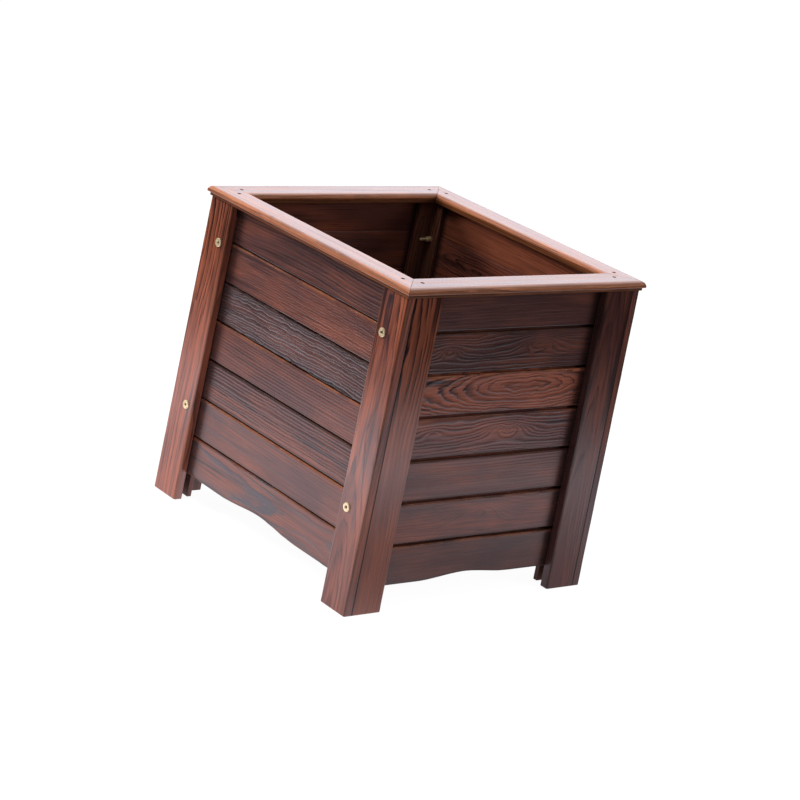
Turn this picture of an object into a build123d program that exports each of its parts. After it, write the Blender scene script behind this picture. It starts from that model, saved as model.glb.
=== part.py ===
from build123d import *
from math import sqrt
import os

# Square slatted timber planter box.
# Origin: centre of the footprint, on the ground. +Z is up, and the front faces -Y.
# The front and back panels lap over the ends of the two side panels, and eight
# socket head bolts run from front and back into the L-shaped corner posts.

# ---- overall size, mm ----
BODY = 592.0                 # square body, over the outer faces of the stiles
HEIGHT = 600.0               # ground to the top of the rim
RIM_THICKNESS = 18.0
RIM_OVERHANG = 8.0           # rim nosing beyond the stile faces
RIM_WIDTH = 62.0

# ---- timber sections ----
STILE_WIDTH = 68.0
STILE_THICKNESS = 18.0
SLAT_THICKNESS = 14.0
POST_LEG_THICKNESS = 10.0
STILE_ARRIS = 3.0
SLAT_ARRIS = 2.5
HIDDEN_ARRIS = 1.0           # edges at the back of a board, or against another board
END_GAP = 0.5                # working gap where a board end meets another board

# ---- slats ----
SLATS_PER_PANEL = 7
SLAT_WIDTH = 74.0
LAPPED_PITCH = 76.5          # front and back panels
SIDE_PITCH = 79.0            # side panels, whose slats stand a little further apart
TOP_JOINT_HEIGHT = 508.0     # middle of the joint under the top slat
LAPPED_APRON_FOOT = 51.0     # lower edge of the bottom slat at its shoulders
SIDE_APRON_FOOT = 39.0
ARCH_RISE = 8.5
ARCH_HALF_SPAN = 118.0
LAP_HEIGHT = 6.0             # shiplap behind each joint, which shuts out the light
TONGUE_THICKNESS = 6.0
LAP_CLEARANCE = 0.5

# ---- rim moulding ----
NOSING_RADIUS = 10.0
NOSING_TUCK = 2.0            # small radius under the nosing
LIP_HEIGHT = 6.0             # plain lower part of the edge, set back from the nosing
LIP_SETBACK = 5.0
RIM_INNER_RADIUS = 9.0
MITRE_GAP = 0.6              # open joint between two rim boards

# ---- corner posts ----
POST_FRONT_REVEAL = 2.0      # post edge behind the inner edge of a front or back stile
POST_SIDE_REVEAL = 3.0       # the same behind a side stile
POST_FOOT = 3.0              # gap under the post, clear of the ground
POST_ARRIS = 1.5

# ---- floor ----
FLOOR_BOARDS = 5
FLOOR_THICKNESS = 18.0
FLOOR_GAP = 6.0              # drainage gap
FLOOR_CLEARANCE = 2.0        # round the walls and the posts
BEARER_WIDTH = 20.0
BEARER_HEIGHT = 24.0
BEARER_FOOT = 84.0
FLOOR_ARRIS = 2.0

# ---- corner bolts, M6 x 70 with a wide flat head ----
BOLT_DIAMETER = 6.0
BOLT_LENGTH = 70.0
BOLT_INSET = 48.0            # from the outer side of the body
BOLT_HEIGHTS = (182.0, 503.0)
BOLT_CLEARANCE = 6.6
HEAD_DIAMETER = 17.0
HEAD_THICKNESS = 2.6
HEAD_ROUND = 1.6
SOCKET_FLATS = 5.0
SOCKET_DEPTH = 4.0
SOCKET_MOUTH = 7.6           # countersink round the socket
NUT_FLATS = 10.0
NUT_LENGTH = 10.0
THREAD_POINT = 1.0

# ---- countersunk wood screws: shank, head, length ----
RIM_SCREW = (4.0, 8.0, 45.0)
SLAT_SCREW = (3.5, 7.0, 22.0)
POST_SCREW = (3.5, 7.0, 34.0)
BEARER_SCREW = (4.0, 8.0, 30.0)
FLOOR_SCREW = (4.0, 8.0, 38.0)
RIM_SCREW_INSET = 50.0       # from the outer side of the body, along the rim board
SCREW_POINT = 3.0
SCREW_SINK = 0.4             # depth of a head below the face of the wood
CROSS_SPAN = 0.5             # length of the cross recess, as a share of the head
CROSS_WIDTH = 0.9
CROSS_DEPTH = 1.2
BEARER_SCREWS_ALONG = (-150.0, -50.0, 50.0, 150.0)
POST_SCREW_INSET = 14.0      # from the edge of the post
FLOOR_SCREW_END = 20.0       # least distance to the end of a bearer

# ---- worked out from the above ----
HALF = BODY / 2
STILE_BACK = HALF - STILE_THICKNESS
SLAT_BACK = STILE_BACK - SLAT_THICKNESS
POST_BACK = SLAT_BACK - POST_LEG_THICKNESS
STILE_TOP = HEIGHT - RIM_THICKNESS
RIM_EDGE = HALF + RIM_OVERHANG
RIM_INSIDE = RIM_EDGE - RIM_WIDTH
FRONT_STILE_INNER = HALF - STILE_WIDTH
SIDE_STILE_INNER = STILE_BACK - STILE_WIDTH
POST_FRONT_EDGE = FRONT_STILE_INNER + POST_FRONT_REVEAL
POST_SIDE_EDGE = SIDE_STILE_INNER + POST_SIDE_REVEAL
FLOOR_HALF = SLAT_BACK - FLOOR_CLEARANCE
FLOOR_UNDERSIDE = BEARER_FOOT + BEARER_HEIGHT
FLOOR_BOARD_WIDTH = (2 * FLOOR_HALF - (FLOOR_BOARDS - 1) * FLOOR_GAP) / FLOOR_BOARDS
BOLT_X = HALF - BOLT_INSET

# a panel is drawn facing -Y and turned into place
PANEL_TURNS = {"front": 0, "right": 90, "back": 180, "left": 270}


def block(x0, x1, y0, y1, z0, z1):
    """Plain box between two corners."""
    box = Box(x1 - x0, y1 - y0, z1 - z0)
    return Pos((x0 + x1) / 2, (y0 + y1) / 2, (z0 + z1) / 2) * box


def eased(board, axis, radius):
    """Rounds the long edges of a board, those that run along an axis."""
    return fillet(board.edges().filter_by(axis), radius)


def rounded_face(corners, plane):
    """Face on a plane through (across, up, radius) corners, each rounded by its radius."""
    with BuildSketch(plane) as face:
        with BuildLine():
            Polyline(*[(across, up) for across, up, _ in corners], close=True)
        make_face()
        for across, up, radius in corners:
            if radius:
                fillet(face.vertices().sort_by_distance((across, up))[0], radius)
    return face.sketch


def solid_of(shape):
    """The one solid of a shape, free of any compound round it."""
    return shape.solids()[0]


# ---- fasteners ----

def turned(outline):
    """Solid of revolution about Z from a half outline of (radius, height) points."""
    with BuildPart() as body:
        with BuildSketch(Plane.XZ):
            with BuildLine():
                Polyline(*outline, close=True)
            make_face()
        revolve(axis=Axis.Z)
    return solid_of(body.part)


def screw_outline(size, mouth):
    """Half outline of a countersunk screw, with a mouth of some depth above its head."""
    shank, head, length = size
    outline = [(0, mouth), (head / 2, mouth)]
    if mouth > 0:
        outline.append((head / 2, 0))
    outline.append((shank / 2, (shank - head) / 2))
    outline.append((shank / 2, SCREW_POINT - length))
    outline.append((0, -length))
    return outline


def screw(size):
    """Countersunk wood screw with its head face at the origin, pointing down -Z."""
    span = CROSS_SPAN * size[1]
    cross = Box(span, CROSS_WIDTH, 2 * CROSS_DEPTH) + Box(CROSS_WIDTH, span, 2 * CROSS_DEPTH)
    return solid_of(turned(screw_outline(size, 0)) - cross)


def screw_hole(size):
    """The space a screw fills, opened up above its sunk head."""
    return turned(screw_outline(size, 2 * SCREW_SINK))


def corner_bolt():
    """Flat head bolt with a hex socket, head seat at the origin, shank along +Y."""
    with BuildPart() as body:
        with BuildSketch(Plane.XZ):
            Circle(HEAD_DIAMETER / 2)
        extrude(amount=HEAD_THICKNESS)
        fillet(body.edges().group_by(Axis.Y)[0], HEAD_ROUND)
        with BuildSketch(Plane.XZ):
            Circle(BOLT_DIAMETER / 2)
        extrude(amount=-BOLT_LENGTH)
        chamfer(body.edges().group_by(Axis.Y)[-1], THREAD_POINT)
        with BuildSketch(Plane.XZ.offset(HEAD_THICKNESS)):
            RegularPolygon(SOCKET_FLATS / 2, 6, major_radius=False)
        extrude(amount=-SOCKET_DEPTH, mode=Mode.SUBTRACT)
    sink = (SOCKET_MOUTH - SOCKET_FLATS) / 2
    mouth = Rot(90, 0, 0) * Cone(SOCKET_FLATS / 2, SOCKET_MOUTH / 2, sink)
    return solid_of(body.part - Pos(0, sink / 2 - HEAD_THICKNESS, 0) * mouth)


def corner_nut():
    """Long hex nut with its face at the origin, running along +Y."""
    with BuildPart() as body:
        with BuildSketch(Plane.XZ):
            RegularPolygon(NUT_FLATS / 2, 6, major_radius=False, rotation=30)
            Circle(BOLT_DIAMETER / 2, mode=Mode.SUBTRACT)
        extrude(amount=-NUT_LENGTH)
    return solid_of(body.part)


def bolt_hole():
    """Clearance hole along +Y, from in front of the body to behind the nut."""
    hole = Cylinder(BOLT_CLEARANCE / 2, 2 * BOLT_LENGTH)
    return Rot(90, 0, 0) * hole


# ---- where the fasteners go ----

def bolt_places():
    """Head seats of the eight corner bolts: the front four, then the back four."""
    seats = []
    for turn in (0, 180):
        for side in (-1, 1):
            for height in BOLT_HEIGHTS:
                seats.append(Rot(0, 0, turn) * Pos(side * BOLT_X, -HALF, height))
    return seats


def rim_screw_places():
    """Two screws down through each rim board, into the top slat below it."""
    down = STILE_BACK - SLAT_THICKNESS / 2
    along = HALF - RIM_SCREW_INSET
    places = []
    for turn in PANEL_TURNS.values():
        for side in (-1, 1):
            places.append(Rot(0, 0, turn) * Pos(side * along, -down, HEIGHT - SCREW_SINK))
    return places


def slat_middle(lapped, index):
    """Height of the middle of a slat's face, counted from the top."""
    lower, upper = slat_span(lapped, index)
    return (lower + upper) / 2


def slat_screw_places():
    """One screw per slat end, from inside the front and back panels into their stiles."""
    places = []
    for turn in (0, 180):
        for index in range(SLATS_PER_PANEL):
            for side in (-1, 1):
                seat = Pos(side * BOLT_X, -SLAT_BACK - SCREW_SINK, slat_middle(True, index))
                places.append(Rot(0, 0, turn) * seat * Rot(-90, 0, 0))
    return places


def post_screw_places():
    """One screw per slat end, through the post and the side slat into the side stile."""
    across = POST_SIDE_EDGE + POST_SCREW_INSET
    places = []
    for turn in (90, 270):
        for index in range(SLATS_PER_PANEL):
            for side in (-1, 1):
                seat = Pos(side * across, -POST_BACK - SCREW_SINK, slat_middle(False, index))
                places.append(Rot(0, 0, turn) * seat * Rot(-90, 0, 0))
    return places


def bearer_screw_places():
    """A row of screws through each floor bearer into the side apron."""
    height = BEARER_FOOT + BEARER_HEIGHT / 2
    places = []
    for turn in (90, 270):
        for along in BEARER_SCREWS_ALONG:
            seat = Pos(along, -(SLAT_BACK - BEARER_WIDTH) - SCREW_SINK, height)
            places.append(Rot(0, 0, turn) * seat * Rot(-90, 0, 0))
    return places


def floor_board_middle(index):
    """Y of the middle of a floor board, counted from the front."""
    return -FLOOR_HALF + FLOOR_BOARD_WIDTH / 2 + index * (FLOOR_BOARD_WIDTH + FLOOR_GAP)


def floor_screw_places():
    """One screw at each end of each floor board, down into the bearers."""
    reach = SLAT_BACK - BEARER_WIDTH / 2
    top = FLOOR_UNDERSIDE + FLOOR_THICKNESS - SCREW_SINK
    ends = SIDE_STILE_INNER - FLOOR_SCREW_END
    places = []
    for index in range(FLOOR_BOARDS):
        along = max(-ends, min(ends, floor_board_middle(index)))
        for side in (-1, 1):
            places.append(Pos(side * reach, along, top))
    return places


def drill(board, places, tool):
    """Cuts a tool out of a board at every place that lies within its reach."""
    for place in places:
        cutter = place * tool
        gap = board.bounding_box()
        reach = cutter.bounding_box()
        apart = (
            reach.min.X > gap.max.X or reach.max.X < gap.min.X
            or reach.min.Y > gap.max.Y or reach.max.Y < gap.min.Y
            or reach.min.Z > gap.max.Z or reach.max.Z < gap.min.Z
        )
        if not apart:
            board = solid_of(board - cutter)
    return board


def drill_all(board):
    """Makes every fastener hole that crosses a board."""
    board = drill(board, bolt_places(), bolt_hole())
    board = drill(board, rim_screw_places(), screw_hole(RIM_SCREW))
    board = drill(board, slat_screw_places(), screw_hole(SLAT_SCREW))
    board = drill(board, post_screw_places(), screw_hole(POST_SCREW))
    board = drill(board, bearer_screw_places(), screw_hole(BEARER_SCREW))
    return drill(board, floor_screw_places(), screw_hole(FLOOR_SCREW))


# ---- boards of one panel, drawn facing -Y ----

def stile(lapped, side):
    """Upright leg board. A lapped panel's stiles reach the corner of the body."""
    outer = HALF if lapped else STILE_BACK
    inner = outer - STILE_WIDTH
    corners = [
        (side * inner, -HALF, STILE_ARRIS),
        (side * outer, -HALF, STILE_ARRIS if lapped else HIDDEN_ARRIS),
        (side * outer, -STILE_BACK, HIDDEN_ARRIS),
        (side * inner, -STILE_BACK, HIDDEN_ARRIS),
    ]
    return solid_of(extrude(rounded_face(corners, Plane.XY), STILE_TOP, dir=(0, 0, 1)))


def slat_span(lapped, index):
    """Lower and upper edge heights of a slat's face, counted from the top."""
    pitch = LAPPED_PITCH if lapped else SIDE_PITCH
    foot = LAPPED_APRON_FOOT if lapped else SIDE_APRON_FOOT
    lower = TOP_JOINT_HEIGHT - index * pitch + (pitch - SLAT_WIDTH) / 2
    upper = STILE_TOP if index == 0 else lower + SLAT_WIDTH
    return foot if index == SLATS_PER_PANEL - 1 else lower, upper


def slat(lapped, index):
    """Horizontal board behind the stiles, with a tongue above and a rebate below."""
    reach = SLAT_BACK - END_GAP if lapped else STILE_BACK
    gap = (LAPPED_PITCH if lapped else SIDE_PITCH) - SLAT_WIDTH
    lower, upper = slat_span(lapped, index)
    front, back = -STILE_BACK, -SLAT_BACK
    tongue = back - TONGUE_THICKNESS
    corners = [(front, lower, SLAT_ARRIS), (front, upper, SLAT_ARRIS)]
    if index > 0:
        tip = upper + gap + LAP_HEIGHT
        corners += [(tongue, upper, 0), (tongue, tip, HIDDEN_ARRIS), (back, tip, HIDDEN_ARRIS)]
    else:
        corners += [(back, upper, HIDDEN_ARRIS)]
    if index < SLATS_PER_PANEL - 1:
        seat = lower + LAP_HEIGHT + LAP_CLEARANCE
        wall = tongue - LAP_CLEARANCE
        corners += [(back, seat, HIDDEN_ARRIS), (wall, seat, 0), (wall, lower, HIDDEN_ARRIS)]
    else:
        corners += [(back, lower, HIDDEN_ARRIS)]
    return solid_of(extrude(rounded_face(corners, Plane.YZ), reach, dir=(1, 0, 0), both=True))


def apron(lapped):
    """Bottom slat, with a low arch between flat shoulders along its lower edge."""
    board = slat(lapped, SLATS_PER_PANEL - 1)
    foot = LAPPED_APRON_FOOT if lapped else SIDE_APRON_FOOT
    with BuildPart() as arch:
        with BuildSketch(Plane.XZ):
            with BuildLine():
                Spline(
                    (-ARCH_HALF_SPAN, foot),
                    (0, foot + ARCH_RISE),
                    (ARCH_HALF_SPAN, foot),
                    tangents=((1, 0), (1, 0)),
                )
                Line((ARCH_HALF_SPAN, foot), (-ARCH_HALF_SPAN, foot))
            make_face()
        extrude(amount=HALF)
    return solid_of(board - arch.part)


def rim_board():
    """Mitred capping board with a moulded outer edge, over the front panel."""
    lip = RIM_EDGE - LIP_SETBACK
    slit = MITRE_GAP / sqrt(2)
    with BuildPart() as board:
        with BuildSketch(Plane.YZ):
            with BuildLine():
                Line((-RIM_INSIDE, STILE_TOP), (-lip, STILE_TOP))
                Line((-lip, STILE_TOP), (-lip, STILE_TOP + LIP_HEIGHT))
                Line(
                    (-lip, STILE_TOP + LIP_HEIGHT),
                    (-RIM_EDGE + NOSING_TUCK, STILE_TOP + LIP_HEIGHT),
                )
                RadiusArc(
                    (-RIM_EDGE + NOSING_TUCK, STILE_TOP + LIP_HEIGHT),
                    (-RIM_EDGE, HEIGHT - NOSING_RADIUS),
                    NOSING_TUCK,
                )
                RadiusArc(
                    (-RIM_EDGE, HEIGHT - NOSING_RADIUS),
                    (-RIM_EDGE + NOSING_RADIUS, HEIGHT),
                    NOSING_RADIUS,
                )
                Line(
                    (-RIM_EDGE + NOSING_RADIUS, HEIGHT),
                    (-RIM_INSIDE - RIM_INNER_RADIUS, HEIGHT),
                )
                RadiusArc(
                    (-RIM_INSIDE - RIM_INNER_RADIUS, HEIGHT),
                    (-RIM_INSIDE, HEIGHT - RIM_INNER_RADIUS),
                    RIM_INNER_RADIUS,
                )
                Line((-RIM_INSIDE, HEIGHT - RIM_INNER_RADIUS), (-RIM_INSIDE, STILE_TOP))
            make_face()
        extrude(amount=RIM_EDGE, both=True)
        with BuildSketch(Plane.XY.offset(STILE_TOP - 1)):
            with BuildLine():
                Polyline((0, -slit), (slit - BODY, -BODY), (BODY - slit, -BODY), close=True)
            make_face()
        extrude(amount=RIM_THICKNESS + 2, mode=Mode.INTERSECT)
    return solid_of(board.part)


# ---- inside the box ----

def corner_post(x_side, y_side):
    """L-shaped post: one leg behind the front or back slats, one behind the side slats."""
    inside_corner = (POST_BACK, POST_BACK)
    outer_points = (
        (POST_BACK, POST_SIDE_EDGE),
        (SLAT_BACK, POST_SIDE_EDGE),
        (SLAT_BACK, SLAT_BACK),
        (POST_FRONT_EDGE, SLAT_BACK),
        (POST_FRONT_EDGE, POST_BACK),
    )
    outline = [(x_side * x, y_side * y) for x, y in (inside_corner, *outer_points)]
    with BuildPart() as post:
        with BuildSketch(Plane.XY.offset(POST_FOOT)) as section:
            with BuildLine():
                Polyline(*outline, close=True)
            make_face()
            fillet(section.vertices().sort_by_distance(outline[0])[1:], POST_ARRIS)
        extrude(amount=STILE_TOP - POST_FOOT)
    return solid_of(post.part)


def floor_bearer(side):
    """Batten along a side panel between its two posts, under the floor boards."""
    half_length = POST_SIDE_EDGE - FLOOR_CLEARANCE
    x0, x1 = sorted((side * (SLAT_BACK - BEARER_WIDTH), side * SLAT_BACK))
    bar = block(x0, x1, -half_length, half_length, BEARER_FOOT, FLOOR_UNDERSIDE)
    return eased(bar, Axis.Y, FLOOR_ARRIS)


def post_clearance(x_side, y_side):
    """The space that a floor board leaves free round a corner post."""
    leg_x = POST_FRONT_EDGE - FLOOR_CLEARANCE
    leg_y = POST_SIDE_EDGE - FLOOR_CLEARANCE
    inner = POST_BACK - FLOOR_CLEARANCE
    spaces = []
    for corner in ((leg_x, inner), (inner, leg_y)):
        x0, x1 = sorted((x_side * corner[0], x_side * HALF))
        y0, y1 = sorted((y_side * corner[1], y_side * HALF))
        spaces.append(block(x0, x1, y0, y1, BEARER_FOOT, HEIGHT / 2))
    return spaces


def floor_board(index):
    """Board across the floor; the outer ones are notched round the posts."""
    middle = floor_board_middle(index)
    y0 = middle - FLOOR_BOARD_WIDTH / 2
    y1 = middle + FLOOR_BOARD_WIDTH / 2
    top = FLOOR_UNDERSIDE + FLOOR_THICKNESS
    board = block(-FLOOR_HALF, FLOOR_HALF, y0, y1, FLOOR_UNDERSIDE, top)
    board = eased(board, Axis.X, FLOOR_ARRIS)
    if index in (0, FLOOR_BOARDS - 1):
        for x_side in (-1, 1):
            for space in post_clearance(x_side, -1 if index == 0 else 1):
                board = solid_of(board - space)
    return board


# ---- writing ----

def write(name, shape):
    shape.label = name
    export_step(shape, f"parts/{name}.step")


def write_panel(name, turn):
    """All boards of one wall: two stiles, six slats and the apron."""
    lapped = name in ("front", "back")
    place = Rot(0, 0, turn)
    for side, hand in ((-1, "left"), (1, "right")):
        write(f"{name}_stile_{hand}", drill_all(place * stile(lapped, side)))
    for index in range(SLATS_PER_PANEL - 1):
        write(f"{name}_slat_{index + 1}", drill_all(place * slat(lapped, index)))
    write(f"{name}_apron", drill_all(place * apron(lapped)))
    write(f"rim_board_{name}", drill_all(place * rim_board()))


def write_group(name, fastener, places):
    """Identical fasteners as one node of separate solids."""
    write(name, Compound(children=[place * fastener for place in places]))


def write_inside():
    """Corner posts, floor bearers and floor boards."""
    for y_side, depth in ((-1, "front"), (1, "back")):
        for x_side, hand in ((-1, "left"), (1, "right")):
            write(f"corner_post_{depth}_{hand}", drill_all(corner_post(x_side, y_side)))
    for side, hand in ((-1, "left"), (1, "right")):
        write(f"floor_bearer_{hand}", drill_all(floor_bearer(side)))
    for index in range(FLOOR_BOARDS):
        write(f"floor_board_{index + 1}", drill_all(floor_board(index)))


def write_fasteners():
    """Bolts, nuts and the wood screws, each kind in its own node."""
    write_group("corner_bolts", corner_bolt(), bolt_places())
    nut_seat = Pos(0, HALF - POST_BACK, 0)
    write_group("corner_nuts", corner_nut(), [p * nut_seat for p in bolt_places()])
    write_group("rim_screws", screw(RIM_SCREW), rim_screw_places())
    write_group("slat_screws", screw(SLAT_SCREW), slat_screw_places())
    write_group("post_screws", screw(POST_SCREW), post_screw_places())
    write_group("bearer_screws", screw(BEARER_SCREW), bearer_screw_places())
    write_group("floor_screws", screw(FLOOR_SCREW), floor_screw_places())


os.makedirs("parts", exist_ok=True)
for panel_name, panel_turn in PANEL_TURNS.items():
    write_panel(panel_name, panel_turn)
write_inside()
write_fasteners()
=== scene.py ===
import math

import bpy
import numpy as np
from mathutils import Matrix, Vector

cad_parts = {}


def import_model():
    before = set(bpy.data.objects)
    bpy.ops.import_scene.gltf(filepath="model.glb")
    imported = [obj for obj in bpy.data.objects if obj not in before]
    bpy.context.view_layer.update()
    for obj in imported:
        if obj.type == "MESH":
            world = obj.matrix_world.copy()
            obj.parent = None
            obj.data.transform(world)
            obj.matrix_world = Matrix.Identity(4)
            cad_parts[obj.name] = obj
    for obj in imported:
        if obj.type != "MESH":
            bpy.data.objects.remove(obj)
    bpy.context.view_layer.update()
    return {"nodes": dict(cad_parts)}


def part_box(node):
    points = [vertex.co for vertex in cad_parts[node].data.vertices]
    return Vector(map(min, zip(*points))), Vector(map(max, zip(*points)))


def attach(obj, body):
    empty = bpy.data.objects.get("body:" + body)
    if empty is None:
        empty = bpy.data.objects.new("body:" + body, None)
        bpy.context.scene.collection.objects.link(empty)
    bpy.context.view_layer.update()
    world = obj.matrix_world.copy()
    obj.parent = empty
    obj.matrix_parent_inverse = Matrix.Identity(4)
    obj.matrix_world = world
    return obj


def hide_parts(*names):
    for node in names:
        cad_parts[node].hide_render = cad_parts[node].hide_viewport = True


# Looks of a slatted timber planter box. Lengths are in metres unless a comment
# says otherwise; wood figure is worked out in millimetres.

MM = 0.001

# ---- sizes of the board meshes ----
STEP_ALONG = 2.4 * MM         # between vertices along the grain
STEP_ACROSS = 1.4 * MM        # between vertices across a face
STEP_HIDDEN = 4.0 * MM        # the same on a board's back
ARC_STEPS = 4                 # steps round one arris
ARRIS = 2.5 * MM              # slats
STILE_ARRIS = 3.0 * MM
HIDDEN_ARRIS = 1.0 * MM
END_ROUND = 0.8 * MM          # rounding where a board was cut off
END_CHAMFER = 0.3             # share of that rounding taken by its first step

# relief of the rings
SWELL_SIZES = (90, 40, 40)    # slow swelling of a face: along, across and out, in millimetres
SWELL = 0.10                  # its height in millimetres
RELIEF_END = 2.0 * MM         # relief dies out this far from a board's ends
RELIEF_DEPTH = 8.0 * MM       # how far behind the face it still has its full height
HIDDEN_RELIEF = 0.3           # its share of that height further back

# wear, and painted shade on arrises, at slat ends beside stiles and along joints between
# stiles
WORN_FROM = 2.0 * MM          # smallest arris that shows wear
WEAR_FULL = 1.0 * MM          # full wear this near to a corner of the section
WEAR_REACH = 5.0 * MM         # and how far it runs in from there
LOWER_WEAR_AND_SHADE = 0.2              # wear of a slat's lower arris against its upper one; that arris faces down, and the rest of it gets painted shade
JOINT_DARK = 1.1 * MM         # painted shade each side of a joint between stiles, full this far out and gone at twice it
PAINTED_SHADE_REACH = 34.0 * MM        # how far painted shade runs out from beside the stile that shadows a slat's end
PAINTED_SHADE_SHORT = 12.0 * MM        # and from beside the other stile
FACE_TURN = 0.7               # least outward normal of a point on a board's face

# shiplap between neighbouring slats
LAP = 6.0 * MM
TONGUE = 6.0 * MM
LAP_CLEARANCE = 0.5 * MM
JOINT_GAP = {"front": 2.5 * MM, "back": 2.5 * MM, "right": 5.0 * MM, "left": 5.0 * MM}

# ---- camera ----
CAMERA_PLACE = Vector((3.57372, -3.45046, 1.80999))
CAMERA_AZIMUTH = 50.0245      # degrees, where the lens axis comes from
CAMERA_ELEVATION = 2.7382
CAMERA_ROLL = 11.3434
CAMERA_LENS = 117.6689        # millimetres, as is the sensor
CAMERA_SENSOR = 36.0
CAMERA_REACH = 500.0
CAMERA_SHIFT = (0.06526, -0.87552)
SHIFT_TOLERANCE = 0.5 * MM    # how far the camera may be off its height and keep the shift

PANELS = {"front": 0, "right": 90, "back": 180, "left": 270}
LAPPED = ("front", "back")    # panels whose stiles reach the corners


# ---- smooth noise on arrays ----

NOISE_SIZE = 32


def noise_table(seed):
    return np.random.default_rng(seed).uniform(-1, 1, (NOISE_SIZE,) * 3)


def noise(table, x, y, z):
    """Smooth value noise between -1 and 1, about one feature per unit."""
    out = 0.0
    corner = [np.floor(c).astype(int) for c in (x, y, z)]
    part = [c - k for c, k in zip((x, y, z), corner)]
    ease = [p * p * p * (p * (6 * p - 15) + 10) for p in part]
    for i in (0, 1):
        wx = ease[0] if i else 1 - ease[0]
        for j in (0, 1):
            wy = ease[1] if j else 1 - ease[1]
            for k in (0, 1):
                wz = ease[2] if k else 1 - ease[2]
                cell = tuple((c + d) % NOISE_SIZE for c, d in zip(corner, (i, j, k)))
                out = out + table[cell] * wx * wy * wz
    return out


# ---- wood figure ----
# A board is a cut through a log. Its rings are found from the distance to a
# wandering pith line; all sizes are in millimetres.
# depth: pith below the face; aside: pith off the middle; lean and bow: slope and
# bend of the pith along the board; turn: where the bend is centred; ring: ring width;
# wander and ripple: (size, length along, length across); relief: height of the rings.

FIGURES = {
    "plain": dict(depth=60, aside=95, lean=0.01, bow=0, turn=0, ring=4.6,
                  wander=(5, 260, 160), ripple=(0.7, 60, 14), relief=0.16),
    "streaky": dict(depth=30, aside=95, lean=0.02, bow=0, turn=0, ring=6.0,
                    wander=(7, 190, 80), ripple=(1.5, 50, 12), relief=0.36),
    "cathedral": dict(depth=17, aside=5, lean=0.0, bow=0.00040, turn=62, ring=4.6,
                      wander=(4, 110, 60), ripple=(1.3, 24, 10), relief=0.36),
    "bold": dict(depth=30, aside=-3, lean=0.012, bow=0.0, turn=0, ring=8.5,
                 wander=(10, 140, 60), ripple=(1.2, 45, 14), relief=0.35),
    "wavy": dict(depth=20, aside=120, lean=0.0, bow=0, turn=0, ring=5.0,
                 wander=(6, 110, 60), ripple=(2.5, 19, 13), relief=1.35),
    "fine": dict(depth=26, aside=80, lean=0.0, bow=0, turn=0, ring=4.2,
                 wander=(6, 120, 50), ripple=(1.8, 14, 12), relief=0.5),
    "eye": dict(depth=60, aside=70, lean=0.0, bow=0, turn=0, ring=5.0,
                wander=(6, 150, 60), ripple=(1.3, 38, 11), relief=0.32),
    "flame": dict(depth=40, aside=14, lean=0.055, bow=0, turn=0, ring=6.4,
                  wander=(8, 200, 60), ripple=(1.2, 60, 12), relief=0.24),
    "striped": dict(depth=44, aside=60, lean=0.02, bow=0, turn=0, ring=7.5,
                    wander=(10, 200, 50), ripple=(1.4, 60, 12), relief=0.22),
}
RIPPLE_OCTAVE = (2.1, 0.5)    # a finer ripple: how many times finer, and its share
RING_UNEVEN = ((0.45, 0.45), (1.1, 0.2))    # uneven ring widths: how often, and by how much

# strength of the figure over a board: its middle value, how it varies and over which
# lengths in millimetres, how much weaker a stile's is at its foot, and its limits
FIGURE_STRENGTH = 0.85
FIGURE_DRIFT = 0.45
FIGURE_SIZES = (130, 60, 60)
STILE_FADE = 0.56
FIGURE_LIMITS = (0.1, 1.15)


def growth(u, v, w, figure, table, eyes=()):
    """Ring number at points of a board, in millimetres along, across and out of it.

    Numbers added to the places only keep one noise apart from the next.
    """
    size, along, across = figure["wander"]
    sway = size * noise(table, u / along, v / across, w / across + 3.3)
    heave = size * noise(table, u / along + 9.1, v / across, w / across + 7.7)
    size, along, across = figure["ripple"]
    ripple = size * noise(table, u / along + 5.5, v / across + 1.7, w / across)
    finer, share = RIPPLE_OCTAVE
    u2, v2 = u / along * finer, v / across * finer + 4.2
    ripple += share * size * noise(table, u2, v2, w / across)
    sideways = v - figure["aside"] + sway
    inward = w + figure["depth"] + figure["lean"] * u + heave
    inward = inward + figure["bow"] * (u - figure["turn"]) ** 2
    rings = (np.hypot(sideways, inward) + ripple) / figure["ring"]
    for eye_u, eye_v, half_u, half_v, height in eyes:
        far = np.hypot((u - eye_u) / half_u, (v - eye_v) / half_v)
        rings = rings + height * np.exp(-far ** 1.5)
    flat = rings * 0
    for (often, amount), apart in zip(RING_UNEVEN, (2.2, 12.2)):
        rings = rings + amount * noise(table, rings * often, flat + apart, flat)
    return rings


LATE_FROM, LATE_RISE, LATE_FALL = 0.35, 0.5, 0.1    # in parts of a ring


def latewood(rings):
    """1 in the dark hard band that closes each ring, 0 in its soft early part."""
    part = rings - np.floor(rings)
    rise = np.clip((part - LATE_FROM) / LATE_RISE, 0, 1)
    fall = np.clip((1.0 - part) / LATE_FALL, 0, 1)
    return rise * rise * (3 - 2 * rise) * fall


# ---- board meshes ----

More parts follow.
